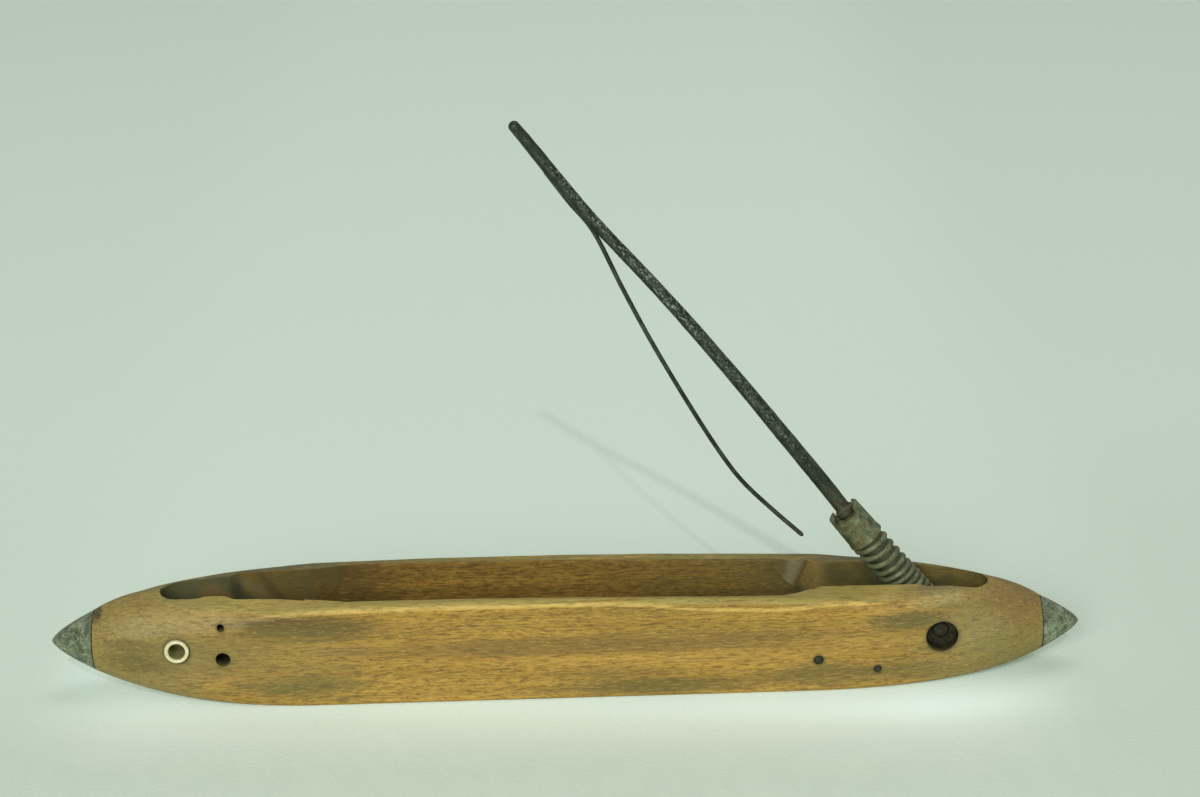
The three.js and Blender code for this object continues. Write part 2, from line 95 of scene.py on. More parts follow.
# The tongue: Z runs up the rod from the hinge, X towards the rod's upper side
HINGE = Vector((144.6, 0, 20.973))
TONGUE_TURN = radians(52 - 90)
TONGUE = Matrix.Translation(HINGE) @ Matrix.Rotation(TONGUE_TURN, 4, "Y")
ROD_LENGTH, TIP_SHORT = 257.0, 0.25
ROOT_RADIUS, TIP_RADIUS = 2.9, 2.15
BEND = 1.2
COLLAR_TOP, COLLAR_LENGTH, COLLAR_RADIUS = 57.8, 15.0, 6.6
COIL_RADIUS, COIL_WIRE = 5.95, 1.15
CORE_RADIUS, CORE_TOP = 5.5, 42.2
GRIP_WIRE = 0.875

EYE = Vector((-148.6, 0, 24.072))
UPPER_HOLE = Vector((-131, 0, 33.874))
LOWER_HOLE = Vector((-131, 0, 20.774))
OUTER_PIN = Vector((97, 0, 13.509))
INNER_PIN = Vector((119.6, 0, 8.955))
EYE_BORE, UPPER_BORE, LOWER_BORE, HINGE_BORE = 4.95, 1.5, 2.85, 3.2
HINGE_PIN_RADIUS, OUTER_PIN_RADIUS, INNER_PIN_RADIUS = 3.0, 1.65, 1.2
PIN_ROOM, HINGE_PIN_SUNK = 0.25, 6.0
RECESS_RADIUS, RECESS_DEPTH = 6.2, 6.5
TANG_RADIUS, TANG_LENGTH = 4.0, 14.0

# Corners closer than this are one, in a new mesh and after a cut
MERGE, CUT_MERGE = 1e-4, 1e-3
# Step along a path for its direction
PATH_STEP = 1e-3


def clamp(value, low=0.0, high=1.0):
    return max(low, min(high, value))


def lerp(low, high, part):
    return low + (high - low) * part


def ease(part):
    part = clamp(part)
    return part * part * (3 - 2 * part)


def read_off(rows, x):
    """The value at x of a line through rows of (x, value), eased between them."""
    if x <= rows[0][0]:
        return rows[0][1]
    for (x0, value0), (x1, value1) in zip(rows, rows[1:]):
        if x <= x1:
            part = (x - x0) / (x1 - x0)
            return lerp(value0, value1, 0.6 * part + 0.4 * ease(part))
    return rows[-1][1]


def axis_z(x):
    return AXIS_HEIGHT - AXIS_FALL * x / LENGTH


def deck_z(x):
    return AXIS_HEIGHT + DECK_RISE - DECK_FALL * x / LENGTH + CROWN * max(0, 1 - (x / CROWN_HALF) ** 2)


def section(x):
    """Half width, heights over and under the axis, and corner radii of the body at x."""
    radius = LEFT_RADIUS if x < 0 else RIGHT_RADIUS
    base = LEFT_BASE if x < 0 else RIGHT_BASE
    u = clamp((abs(x) - STRAIGHT_HALF) / (base - STRAIGHT_HALF))
    right_u = clamp((u - RIGHT_LIFT_START) / (1 - RIGHT_LIFT_START))
    lift = u**LEFT_LIFT if x < 0 else right_u**RIGHT_LIFT
    half = radius + (HALF_WIDTH - radius) * (1 - u**NARROWING)
    top = radius + (deck_z(x) - axis_z(x) - radius) * (1 - u**FALLING)
    bottom = radius + (axis_z(x) - radius) * (1 - lift)
    top_round = lerp(SHOULDER_ROUND, 0.96 * min(half, top), min(1, (u / 0.78) ** 1.25))
    low_round = lerp(BOTTOM_ROUND, 0.96 * min(half, bottom), u**1.5)
    return half, top, bottom, top_round, low_round


def rim_lift(x, y, edge):
    """How far the deck departs from its plain line: nothing at the shoulder, all of it at the rim."""
    rim = read_off(RIM, x)
    return read_off(RIM_LIFT, x) * clamp((edge - abs(y)) / max(1.0, edge - rim))


# Mesh tools
def wrapped(across, along, place):
    """A grid whose corners are put where place(u, v) says, with u and v from 0 to 1."""
    made = bmesh.new()
    bmesh.ops.create_grid(made, x_segments=across, y_segments=along, size=0.5)
    for corner in made.verts:
        corner.co = place(corner.co.x + 0.5, corner.co.y + 0.5)
    bmesh.ops.remove_doubles(made, verts=made.verts, dist=MERGE)
    return closed(made)


def closed(made):
    """Fills the open ends of a mesh and turns its faces outwards."""
    open_edges = [edge for edge in made.edges if edge.is_boundary]
    if open_edges:
        bmesh.ops.holes_fill(made, edges=open_edges)
    bmesh.ops.dissolve_degenerate(made, dist=MERGE, edges=made.edges)
    bmesh.ops.recalc_face_normals(made, faces=made.faces)
    return made


def turned(profile, steps, place):
    """A solid turned about Z from (radius, height) pairs, then put in its place."""
    made = bmesh.new()
    corners = [made.verts.new((radius, 0, height)) for radius, height in profile]
    edges = [made.edges.new(pair) for pair in zip(corners, corners[1:])]
    outline = corners + edges
    bmesh.ops.spin(
        made, geom=outline, cent=(0, 0, 0), axis=(0, 0, 1), angle=TURN, steps=steps, use_merge=True
    )
    bmesh.ops.remove_doubles(made, verts=made.verts, dist=MERGE)
    bmesh.ops.recalc_face_normals(made, faces=made.faces)
    made.transform(place)
    return made


def direction(path, u):
    return (path(min(1, u + PATH_STEP)) - path(max(0, u - PATH_STEP))).normalized()


def tube(path, radius, steps, sides, across):
    """A round bar along path(u), with radius(u, angle). across is square to the path or nearly so."""

    def place(u, v):
        along = direction(path, u)
        side = across.cross(along).normalized()
        angle = TURN * v
        out = side * cos(angle) + along.cross(side) * sin(angle)
        return path(u) + out * radius(u, angle)

    return wrapped(steps, sides, place)


def through(points):
    """A smooth path through points, over 0 to 1."""
    ends = [2 * points[0] - points[1], *points, 2 * points[-1] - points[-2]]

    def path(u):
        whole = clamp(u) * (len(points) - 1)
        at = min(int(whole), len(points) - 2)
        t = whole - at
        p0, p1, p2, p3 = ends[at : at + 4]
        square = 2 * p0 - 5 * p1 + 4 * p2 - p3
        cube = 3 * p1 - p0 - 3 * p2 + p3
        return 0.5 * (2 * p1 + (p2 - p0) * t + square * t**2 + cube * t**3)

    return path


def mesh_of(name, made, finishes=()):
    """Turns a mesh under work into mesh data with its finishes, and frees it."""
    mesh = bpy.data.meshes.new(name)
    made.to_mesh(mesh)
    made.free()
    for finish in finishes:
        mesh.materials.append(finish)
    return mesh


def placed(name, data):
    made = bpy.data.objects.new(name, data)
    bpy.context.scene.collection.objects.link(made)
    return made


def block_of(name, made, finishes, inner=0):
    """A scratch object in millimetres, for cutting. Its faces that have the first finish get inner."""
    for face in made.faces:
        if face.material_index == 0:
            face.material_index = inner
    return placed(name, mesh_of(name, made, finishes))


def carved(block, cutters):
    """A mesh of block less its cutters. The faces that a cutter leaves keep the cutter's finish."""
    for cutter in cutters:
        cut = block.modifiers.new(cutter.name, "BOOLEAN")
        cut.operation = "DIFFERENCE"
        cut.solver = "EXACT"
        cut.object = cutter
    graph = bpy.context.evaluated_depsgraph_get()
    mesh = bpy.data.meshes.new_from_object(block.evaluated_get(graph))
    for scratch in (block, *cutters):
        bpy.data.objects.remove(scratch)
    made = bmesh.new()
    made.from_mesh(mesh)
    bmesh.ops.remove_doubles(made, verts=made.verts, dist=CUT_MERGE)
    return made


def piece(name, made, finishes, node, body, sharp=38):
    """Finishes a mesh as the piece that stands for a node."""
    bmesh.ops.scale(made, vec=(MM, MM, MM), verts=made.verts)
    mesh = mesh_of(name, made, finishes)
    mesh.shade_smooth()
    mesh.set_sharp_from_angle(angle=radians(sharp))
    dressed = placed(name, mesh)
    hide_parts(node)
    if body:
        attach(dressed, body)
    return dressed


# Finishes
def tint(red, green, blue):
    """A colour given as it looks on a screen, 0 to 255, as a shader's colour."""
    return (*(((part / 255 + 0.055) / 1.055) ** 2.4 for part in (red, green, blue)), 1)


class Pattern:
    """A value over the surface. Sums on it add their nodes."""

    def __init__(self, finish, socket):
        self.finish = finish
        self.socket = socket

    def sum(self, operation, *parts):
        return self.finish.node("ShaderNodeMath", {"operation": operation}, dict(enumerate(parts)))

    def __add__(self, other):
        return self.sum("ADD", self, other)

    __radd__ = __add__

    def __sub__(self, other):
        return self.sum("SUBTRACT", self, other)

    def __rsub__(self, other):
        return self.sum("SUBTRACT", other, self)

    def __mul__(self, other):
        return self.sum("MULTIPLY", self, other)

    __rmul__ = __mul__

    def __abs__(self):
        return self.sum("ABSOLUTE", self)

    def most(self, other):
        return self.sum("MAXIMUM", self, other)

    def between(self, low, high):
        """0 on low's side and 1 on high's, smooth from one to the other."""
        return self.finish.node(
            "ShaderNodeMapRange",
            {"interpolation_type": "SMOOTHSTEP"},
            {"Value": self, "From Min": low, "From Max": high},
        )


class Finish:
    """A material made of nodes, on the piece's own coordinates."""

    def __init__(self, name, constants, turn=0.0, centre=(0, 0, 0)):
        self.material = bpy.data.materials.new(name)
        self.material.use_nodes = True
        self.tree = self.material.node_tree
        self.shader = self.tree.nodes["Principled BSDF"]
        self.turn = (0, turn, 0)
        self.centre = [part * MM for part in centre]
        self.place = self.node("ShaderNodeTexCoord", output="Object")
        for socket, value in constants.items():
            self.shader.inputs[socket].default_value = value

    def node(self, kind, settings=None, sockets=None, output=0):
        made = self.tree.nodes.new(kind)
        for name, value in (settings or {}).items():
            setattr(made, name, value)
        for name, value in (sockets or {}).items():
            if isinstance(value, Pattern):
                self.tree.links.new(value.socket, made.inputs[name])
            else:
                made.inputs[name].default_value = value
        return Pattern(self, made.outputs[output])

    def space(self, size):
        """The piece's coordinates, counted in steps of size millimetres along its own axes."""
        sockets = {
            "Vector": self.place,
            "Location": self.centre,
            "Rotation": self.turn,
            "Scale": [part * MM for part in size],
        }
        return self.node("ShaderNodeMapping", {"vector_type": "TEXTURE"}, sockets)

    def axes(self):
        """X, Y and Z in millimetres."""
        space = self.space((1, 1, 1))
        return [self.node("ShaderNodeSeparateXYZ", {}, {"Vector": space}, axis) for axis in range(3)]

    def noise(self, size, detail=2.0, roughness=0.5, bend=0.0, seed=0.0):
        sockets = {
            "Vector": self.space(size),
            "W": seed,
            "Scale": 1.0,
            "Detail": detail,
            "Roughness": roughness,
            "Distortion": bend,
        }
        return self.node("ShaderNodeTexNoise", {"noise_dimensions": "4D"}, sockets)

    def mix(self, part, below, above, way="MIX"):
        settings = {"data_type": "RGBA", "blend_type": way}
        return self.node("ShaderNodeMix", settings, {0: part, 6: below, 7: above}, 2)

    def bump(self, height, depth):
        """A Bump node that raises height, a value from 0 to 1, by depth millimetres."""
        sockets = {"Height": height, "Distance": depth * MM, "Strength": 1.0}
        return self.node("ShaderNodeBump", {}, sockets)

    def made_of(self, colour, roughness, relief):
        """Feeds the shader and gives back the material."""
        for name, value in (("Base Color", colour), ("Roughness", roughness), ("Normal", relief)):
            self.tree.links.new(value.socket, self.shader.inputs[name])
        return self.material


def wood_layers(finish, lights, middles, darks, olives, reds):
    """What all of the shuttle's wood shares: bands, olive streaks, fibres and short flecks."""
    bands = finish.noise((120, 12, 7), detail=3, roughness=0.55, bend=0.3)
    streaks = finish.noise((60, 3.2, 2.0), detail=4, roughness=0.6, bend=0.2, seed=3)
    fibres = finish.noise((5.5, 0.95, 0.78), detail=3, roughness=0.8, seed=5)
    bright = finish.noise((5, 1.0, 0.75), detail=3, roughness=0.8, seed=6)
    flecks = finish.noise((2.0, 0.9, 0.7), detail=3, roughness=0.75, seed=7)
    mottle = finish.noise((11, 5, 4), detail=3, seed=11)
    colour = finish.mix(bands.between(0.34, 0.66), middles, lights)
    colour = finish.mix(streaks.between(0.48, 0.68) * 0.5, colour, olives)
    colour = finish.mix(fibres.between(0.44, 0.64) * 0.7, colour, darks)
    colour = finish.mix(bright.between(0.5, 0.66) * 0.7, colour, lights)
    colour = finish.mix(flecks.between(0.48, 0.62) * mottle.between(0.3, 0.6) * 0.7, colour, reds)
    return colour, fibres, bright, flecks, mottle


def deck_line(x):
    """Height of the body's top over x, as a pattern."""
    part = x * (1 / CROWN_HALF)
    return CROWN * (1 - part * part).most(0) + (AXIS_HEIGHT + DECK_RISE) - DECK_FALL / LENGTH * x


def side_line(x):
    """Half width of the body over x, as a pattern."""
    part = ((abs(x) - STRAIGHT_HALF) * (1 / (RIGHT_BASE - STRAIGHT_HALF))).most(0)
    return HALF_WIDTH - (HALF_WIDTH - LEFT_RADIUS) * (part * part * part)


def patch(axes, centre, reach, edge):
    """1 inside an ellipsoid with a ragged edge, 0 outside."""
    parts = [(axis - middle) * (1 / half) for axis, middle, half in zip(axes, centre, reach)]
    far = parts[0] * parts[0] + parts[1] * parts[1] + parts[2] * parts[2]
    return (far + (edge - 0.5) * 3.4).between(1.7, 0.0)


# The forged rod: place along it from the hinge, how far it strays from its curve there, and its
# thickness against an even taper
ROD_FORM = (
    (59.7, 0.6, 1.1), (66.7, 0.7, 1.13), (72.9, 0.72, 1.14), (79.2, 0.6, 1.14), (85.4, 0.45, 1.13),
    (91.7, 0.34, 1.13), (97.9, 0.15, 1.13), (104.1, 0.1, 1.115), (110.4, 0.04, 1.1), (122.9, 0, 1.08),
    (135.3, 0.1, 1.04), (141.6, 0.2, 1.04), (147.8, 0.4, 1.04), (154.1, 0.5, 1.04), (160.3, 0.7, 1.01),
    (166.5, 0.76, 1), (172.8, 0.9, 1), (179, 0.95, 0.99), (185.2, 0.9, 0.99), (197.7, 0.7, 0.98),
    (207.1, 0.45, 1.03), (216.4, 0.3, 1.09), (228.9, 0.34, 1.1), (241.4, 0.36, 1.1), (247.6, 0.3, 1.06),
    (253.9, 0.1, 1), (260.1, 0, 1),
)
ROD_SWAY = [(s, sway) for s, sway, swell in ROD_FORM]
ROD_SWELL = [(s, swell) for s, sway, swell in ROD_FORM]
# Stains on the front, and one painted shade under the left shoulder, as centre, reach, colour and
# strength
STAINS_AND_SHADE = (
    # Painted shade where the front curves over under the left shoulder
    ((-98, -23, 33), (28, 14, 5.2), (86, 76, 38), 0.85),
    ((-118, -22, 35.6), (20, 14, 2.6), (92, 78, 40), 0.8),
    ((-101, -23, 9), (25, 14, 4.6), (98, 94, 48), 0.8),
    ((-164, -15, 18), (15, 14, 4.6), (92, 84, 44), 0.65),
    ((-166, -14, 25), (13, 14, 2.4), (100, 86, 46), 0.6),
    ((-136, -21, 22), (24, 14, 9), (128, 114, 66), 0.5),
    ((-108, -23, 22), (36, 14, 13), (134, 120, 68), 0.4),
    ((18, -23, 22.5), (96, 14, 4.4), (126, 100, 50), 0.7),
    ((20, -23, 11), (30, 14, 2.6), (134, 106, 46), 0.4),
    ((34, -23, 4.5), (40, 14, 3.6), (104, 92, 42), 0.85),
    ((98, -23, 7.5), (24, 14, 4.6), (104, 94, 46), 0.75),
    ((130, -22, 28.6), (15, 14, 3.8), (90, 88, 48), 0.8),
    ((130, -22, 8), (18, 14, 4.6), (104, 94, 48), 0.6),
    ((158, -18, 22), (16, 16, 8), (152, 142, 90), 0.5),
    ((168, -14, 13), (16, 14, 6), (118, 116, 70), 0.35),
    ((176, -8, 31), (13, 20, 12), (124, 94, 56), 0.45),
    ((-181.5, -4, 34), (2.6, 6, 3.4), (58, 50, 40), 0.9),
)
# Pale patches, in streaks: painted reflections on the rounded shoulders near both ends, and pale streaks
# along the front
SHEENS = (
    ((-143, -19, 36), (24, 12, 4.2), (184, 168, 110), 0.6),
    ((-163, -14, 31.5), (14, 10, 3.6), (170, 158, 110), 0.6),
    ((146, -19, 34.6), (15, 9, 2.2), (192, 178, 126), 0.6),
    ((40, -23, 16.2), (90, 14, 2.6), (198, 156, 74), 0.5),
    ((112, -23, 21), (26, 14, 3), (198, 158, 78), 0.5),
)
# Stains on the far side of the well and its slots, and one painted shadow below the right web's apex.
# Their X is where they cross 28 mm up, as they slant.
WELL_STAINS_AND_SHADOW = (
    ((-132, 9, 34.5), (6, 12, 5), (116, 92, 52), 0.8),
    ((-146, 8, 30), (4, 12, 4), (104, 84, 50), 0.6),
    ((-156, 6, 31), (7, 12, 12), (88, 97, 72), 0.8),
    ((-123, 10, 31), (3, 14, 9), (64, 62, 38), 0.6),
    ((-117, 11, 34), (3.4, 14, 6), (112, 102, 66), 0.6),
    ((-110, 12, 32), (2.6, 14, 12), (66, 60, 34), 0.6),
    ((-104.5, 12, 28), (3.6, 14, 8), (108, 86, 40), 0.5),
    # Painted shadow below the right web's apex
    ((92, 14, 23), (5, 10, 5), (62, 64, 38), 0.8),
)
# Dirt round the holes of the front, as x, z, radius of the dark ring, and strength
HOLE_DIRT = (
    (-131, 20.8, 4.6, 0.2), (-131, 33.9, 2.4, 0.4), (-148.6, 24.1, 6.2, 0.6), (144.6, 21, 7.6, 0.5),
    (97, 13.5, 2.9, 0.6), (119.6, 9, 2.3, 0.6),
)


def shuttle_wood():
    finish = Finish("shuttle_wood", {"Specular IOR Level": 0.35})
    axes = x, y, z = finish.axes()
    lights, middles, darks = tint(193, 152, 64), tint(160, 128, 49), tint(108, 84, 34)
    olives, reds = tint(120, 112, 52), tint(142, 97, 42)
    colour, fibres, bright, flecks, mottle = wood_layers(finish, lights, middles, darks, olives, reds)
    # The deck, olive in front and greyer behind, and a painted highlight along the front shoulder
    below_deck = deck_line(x) - z
    deck_stain = finish.noise((24, 3, 3), detail=4, seed=21)
    on_deck = below_deck.between(2.8, 1.2) * deck_stain.between(0.2, 0.5)
    colour = finish.mix(on_deck * 0.78, colour, tint(163, 151, 78))
    colour = finish.mix(on_deck * x.between(126, 138) * 0.8, colour, tint(110, 94, 54))
    behind = on_deck * y.between(4, 9)
    ends = abs(x).between(60, 120)
    colour = finish.mix(behind * (0.55 + 0.4 * ends), colour, tint(92, 88, 56))
    # Painted highlight along the front shoulder, dipping lower in two places and broken up by noise
    dip = x.between(18, 62) * x.between(106, 80) * 2.4 + x.between(-88, -134) * 2.6
    off_line = abs(below_deck - dip - 1.8)
    highlight_breaks = finish.noise((14, 3, 2), detail=4, roughness=0.65, seed=17)
    outside = (abs(y) - side_line(x)).between(-2.6, -1.2) * y.between(-6, -9)
    shoulder_highlight = off_line.between(1.3, 0.3) * outside * abs(x).between(146, 128)
    colour = finish.mix(shoulder_highlight * highlight_breaks.between(0.26, 0.56) * 0.85, colour, tint(222, 186, 98))

    lines = finish.noise((170, 4, 0.8), detail=2, bend=0.1, seed=13)
    colour = finish.mix(lines.between(0.6, 0.67) * 0.45, colour, tint(104, 82, 40))

    # Grey-olive where hands have touched it, most at the ends
    edge = finish.noise((32, 5, 1.5), detail=5, roughness=0.75, seed=25)
    ends = abs(x).between(114, 168)
    colour = finish.mix((ends * 0.5 + edge).between(0.45, 0.95) * 0.7, colour, tint(132, 122, 71))
    for centre, reach, shade, strength in STAINS_AND_SHADE:
        colour = finish.mix(patch(axes, centre, reach, edge) * strength, colour, tint(*shade))
    # Painted reflections and pale streaks, broken into streaks
    sheen_streaks = finish.noise((7, 0.8, 0.6), detail=4, roughness=0.75, seed=27).between(0.4, 0.6)
    for centre, reach, shade, strength in SHEENS:
        pale = patch(axes, centre, reach, edge) * (0.25 + 0.75 * sheen_streaks)
        colour = finish.mix(pale * strength, colour, tint(*shade))
    colour = finish.mix(fibres.between(0.48, 0.64) * 0.45, colour, tint(96, 76, 36))
    colour = finish.mix(bright.between(0.53, 0.66) * 0.42, colour, tint(194, 162, 88))
    for hole_x, hole_z, radius, strength in HOLE_DIRT:
        across, up = x - hole_x, z - hole_z
        far = (across * across + up * up) * (1 / radius**2) + (flecks - 0.5) * 0.8
        dirt = far.between(1.15, 0.55) * y.between(-6, -9)
        colour = finish.mix(dirt * strength, colour, tint(72, 68, 42))
    nicks = finish.noise((1.3, 0.8, 0.8), detail=3, roughness=0.75, seed=33).between(0.62, 0.68)
    nicked = patch(axes, (120, -23, 30.5), (8, 12, 6), edge)
    colour = finish.mix(nicks * (nicked * 0.85 + 0.06), colour, tint(214, 200, 150))

    scratches = finish.noise((26, 0.5, 0.5), detail=2, roughness=0.6, seed=31)
    height = fibres * 0.5 + scratches * 0.3 + flecks * 0.2
    rough = 0.38 + 0.2 * mottle + 0.2 * fibres
    return finish.made_of(colour, rough, finish.bump(height, 0.2))


def well_wood():
    finish = Finish("well_wood", {"Specular IOR Level": 0.25})
    x, y, z = finish.axes()
    lights, middles, darks = tint(160, 126, 50), tint(128, 102, 38), tint(84, 64, 26)
    olives, reds = tint(102, 92, 42), tint(98, 62, 26)
    colour, fibres, bright, flecks, _ = wood_layers(finish, lights, middles, darks, olives, reds)
    below_deck = deck_line(x) - z
    colour = finish.mix(below_deck.between(3.0, 0.8) * 0.3, colour, tint(150, 116, 52))
    dull = finish.noise((26, 8, 8), detail=3, seed=45) * 0.5 + x.between(-60, 80) * 0.5
    colour = finish.mix(dull.between(0.35, 0.85) * 0.55, colour, tint(98, 92, 46))
    colour = finish.mix(x.between(62, 84) * 0.45, colour, tint(88, 84, 46))
    colour = finish.mix(x.between(-54, -84) * 0.7, colour, tint(82, 67, 30))
    colour = finish.mix(fibres.between(0.46, 0.62) * 0.4, colour, tint(76, 58, 26))
    colour = finish.mix(bright.between(0.53, 0.66) * 0.4, colour, tint(168, 132, 64))
    grime = finish.noise((9, 7, 9), detail=4, roughness=0.6, bend=0.8, seed=47)
    clouds = finish.noise((17, 9, 14), detail=3, bend=0.6, seed=49)
    left = x.between(-94, -102)
    colour = finish.mix(left * 0.5, colour, tint(112, 94, 42))
    colour = finish.mix(left * clouds.between(0.46, 0.6) * 0.45, colour, tint(84, 82, 50))
    smudge = finish.noise((5, 6, 4), detail=4, roughness=0.7, bend=0.5, seed=57)
    slanted = x + (z - 28) * 0.7
    far_left = (slanted + (smudge - 0.5) * 14).between(-117, -123)
    colour = finish.mix(far_left * 0.85, colour, tint(83, 87, 57))
    for centre, reach, shade, strength in WELL_STAINS_AND_SHADOW:
        stain = patch((slanted, y, z), centre, reach, smudge)
        colour = finish.mix(stain * strength, colour, tint(*shade))
    # Darker in the narrow right slot: the wood's own tone, and partly painted shade
    right = x.between(98, 106)
    colour = finish.mix(right * 0.5, colour, tint(104, 92, 46))
    colour = finish.mix(right * clouds.between(0.42, 0.58) * 0.65, colour, tint(72, 72, 40))
    orange = x.between(92, 95) * x.between(104, 98) * grime.between(0.3, 0.5)
    colour = finish.mix(orange * 0.55, colour, tint(140, 120, 66))
    # Painted shade, darker deeper down the well's walls
    colour = finish.mix(below_deck.between(8, 30) * 0.35, colour, tint(60, 48, 26))
    return finish.made_of(colour, 0.55 + 0.25 * grime, finish.bump(flecks * 0.5 + fibres * 0.5, 0.2))


def web_wood():
    """The smooth cuts of the webs, greyer than the walls and softly merging with them."""
    finish = Finish("web_wood", {"Specular IOR Level": 0.3})
    x, _, z = finish.axes()
    streaks = finish.noise((6, 4, 9), detail=4, roughness=0.6, seed=61)
    fibres = finish.noise((6, 0.6, 0.6), detail=3, roughness=0.6, seed=63)
    right = x.between(-10, 10)
    grey = finish.mix(right, tint(100, 88, 46), tint(132, 128, 92))
    brown = finish.mix(right, tint(96, 79, 36), tint(104, 92, 52))
    apex, inner = RIGHT_WEB[2], RIGHT_WEB[3]
    slope = (inner[0] - apex[0]) / (inner[2] - apex[2])
    right_edge = (z - apex[2]) * slope + apex[0] - x
    left_edge = abs(x - LEFT_WEB[2][0] + 1.5)
    soft = right_edge.between(3, 9) * right + left_edge.between(2, 7) * (1 - right)
    colour = finish.mix((soft * 0.8 + (streaks - 0.5) * 0.9).between(0.0, 0.9), grey, brown)
    border = right_edge.between(2.6, 0.4) * right
    colour = finish.mix(border * 0.8, colour, tint(112, 90, 52))
    colour = finish.mix(fibres.between(0.45, 0.65) * 0.35, colour, tint(78, 66, 36))
    return finish.made_of(colour, 0.5 + 0.2 * streaks, finish.bump(fibres, 0.1))


def bore_shade_and_grime():
    """The insides of the holes, black with old oil and painted shade, and painted lighter towards the
    front face, where light reaches in.
    """
    finish = Finish("bore_shade_and_grime", {"Specular IOR Level": 0.2})
    grime = finish.noise((2, 2, 2), detail=3, seed=65)
    _, y, _ = finish.axes()
    colour = finish.mix(grime.between(0.35, 0.65), tint(34, 35, 22), tint(56, 54, 32))
    colour = finish.mix(y.between(-17, -22.4) * 0.75, colour, tint(118, 106, 60))
    return finish.made_of(colour, 0.6 + 0.2 * grime, finish.bump(grime, 0.15))


def steel_skin(finish, dark, pale, rust, size, rusting, shine=0.42):
    """Old steel: a dark skin, pale where it is rubbed bare, with rust in the hollows."""
    skin = finish.noise([2.2 * part for part in size], detail=4, roughness=0.65, seed=2)
    specks = finish.noise([0.4 * part for part in size], detail=3, roughness=0.7, seed=4)
    pits = finish.noise([0.25 * part for part in size], detail=2, roughness=0.6, seed=6)
    colour = finish.mix((skin * 0.55 + specks * 0.45).between(0.4, 0.68), dark, pale)
    hollows = finish.noise([3 * part for part in size], detail=3, seed=8)
    rusty = (hollows * 0.7 + specks * 0.3).between(0.62 - 0.2 * rusting, 0.76 - 0.2 * rusting)
    colour = finish.mix(rusty * min(1.0, 0.3 + rusting), colour, rust)
    rough = shine + 0.25 * rusty + 0.2 * specks
    return colour, rough, finish.bump(skin * 0.5 + pits * 0.5, 0.12), specks


def worn_steel(name, dark, pale, rust, size, rusting, shine=0.42, metallic=0.55):
    finish = Finish(name, {"Metallic": metallic}, TONGUE_TURN, HINGE)
    colour, rough, relief, _ = steel_skin(finish, dark, pale, rust, size, rusting, shine)
    return finish.made_of(colour, rough, relief)


def tongue_iron():
    """Black iron, rusty above the collar and finely speckled pale along the rod's upper side: bare iron
    and painted glints.
    """
    finish = Finish("tongue_iron", {"Metallic": 0.6}, TONGUE_TURN, HINGE)
    colour, rough, relief, specks = steel_skin(
        finish, tint(34, 43, 33), tint(84, 95, 77), tint(58, 54, 38), (1.1, 1.1, 3.2), 0.1
    )
    x, _, z = finish.axes()
    # Pale specks on the rod's upper side: bare iron, and painted glints where light falls on that side
    fine = finish.noise((0.9, 0.9, 1.5), detail=3, roughness=0.8, seed=12).between(0.52, 0.62)
    upper = x.between(-1.6, 1.0) * z.between(70, 100) * z.between(244, 226)
    bare_and_glints = fine * upper * (0.45 + 0.5 * z.between(130, 175))
    colour = finish.mix(bare_and_glints, colour, tint(160, 174, 152))
    old = z.between(76, 60) * specks.between(0.3, 0.6)
    colour = finish.mix(old * 0.8, colour, tint(92, 88, 66))
    dusty = z.between(46, 42) * specks.between(0.2, 0.5)
    colour = finish.mix(dusty * 0.4, colour, tint(92, 94, 68))
    return finish.made_of(colour, rough, relief)


def porcelain():
    finish = Finish("porcelain", {"Coat Weight": 0.3})
    glaze = finish.noise((2.5, 2.5, 2.5), detail=3, seed=1)
    grime = finish.noise((1.1, 1.1, 1.1), detail=3, seed=3)
    _, y, _ = finish.axes()
    inside = y.between(-21.6, -20.4)
    colour = finish.mix(glaze.between(0.35, 0.65), tint(222, 214, 164), tint(236, 230, 190))
    colour = finish.mix(grime.between(0.55, 0.7) * 0.5, colour, tint(150, 138, 90))
    # Olive deeper inside the eye's bore: partly grime, partly painted shade
    colour = finish.mix(inside * 0.9, colour, tint(136, 128, 72))
    rough = 0.2 + 0.3 * grime
    return finish.made_of(colour, rough, finish.bump(glaze, 0.05))


WOOD = shuttle_wood()
WELL_WOOD = well_wood()
BORE_SHADE_AND_GRIME = bore_shade_and_grime()
WEB_WOOD = web_wood()
POINT_STEEL = worn_steel(
    "point_steel", tint(86, 97, 71), tint(182, 192, 160), tint(108, 102, 68), (2.4, 2.4, 2.4), 0.2
)
TONGUE_IRON = tongue_iron()
COLLAR_STEEL = worn_steel(
    "collar_steel", tint(82, 90, 60), tint(156, 164, 128), tint(110, 94, 58), (1.2, 1.2, 1.2), 0.62
)
COIL_STEEL = worn_steel(
    "coil_steel", tint(82, 88, 58), tint(138, 143, 105), tint(102, 92, 58), (1.6, 1.6, 1.6), 0.3, 0.5, 0.3
)
# Near black: the pins' own dark steel, and painted shade on the hinge pin's end deep in its recess
PIN_STEEL = worn_steel(
    "pin_steel", tint(36, 36, 25), tint(64, 62, 44), tint(50, 42, 28), (1, 1, 1), 0.6, 0.7, 0.1
)
PORCELAIN = porcelain()


# Wooden body: a wrapped hull, less the well, the slots and the holes
HULL_RINGS, CORNER_STEPS, SIDE_STEPS = 170, 8, 14
RING_STEPS = 4 * (CORNER_STEPS + SIDE_STEPS)
# How much closer the rings lie at the ends
BUNCHING = 0.28
# Slight hollows, as (depth, size), and how much of the height above the floor has none
WIDE_HOLLOWS, SMALL_HOLLOWS = (0.22, 17), (0.1, 5)
PLAIN_FOOT = 3


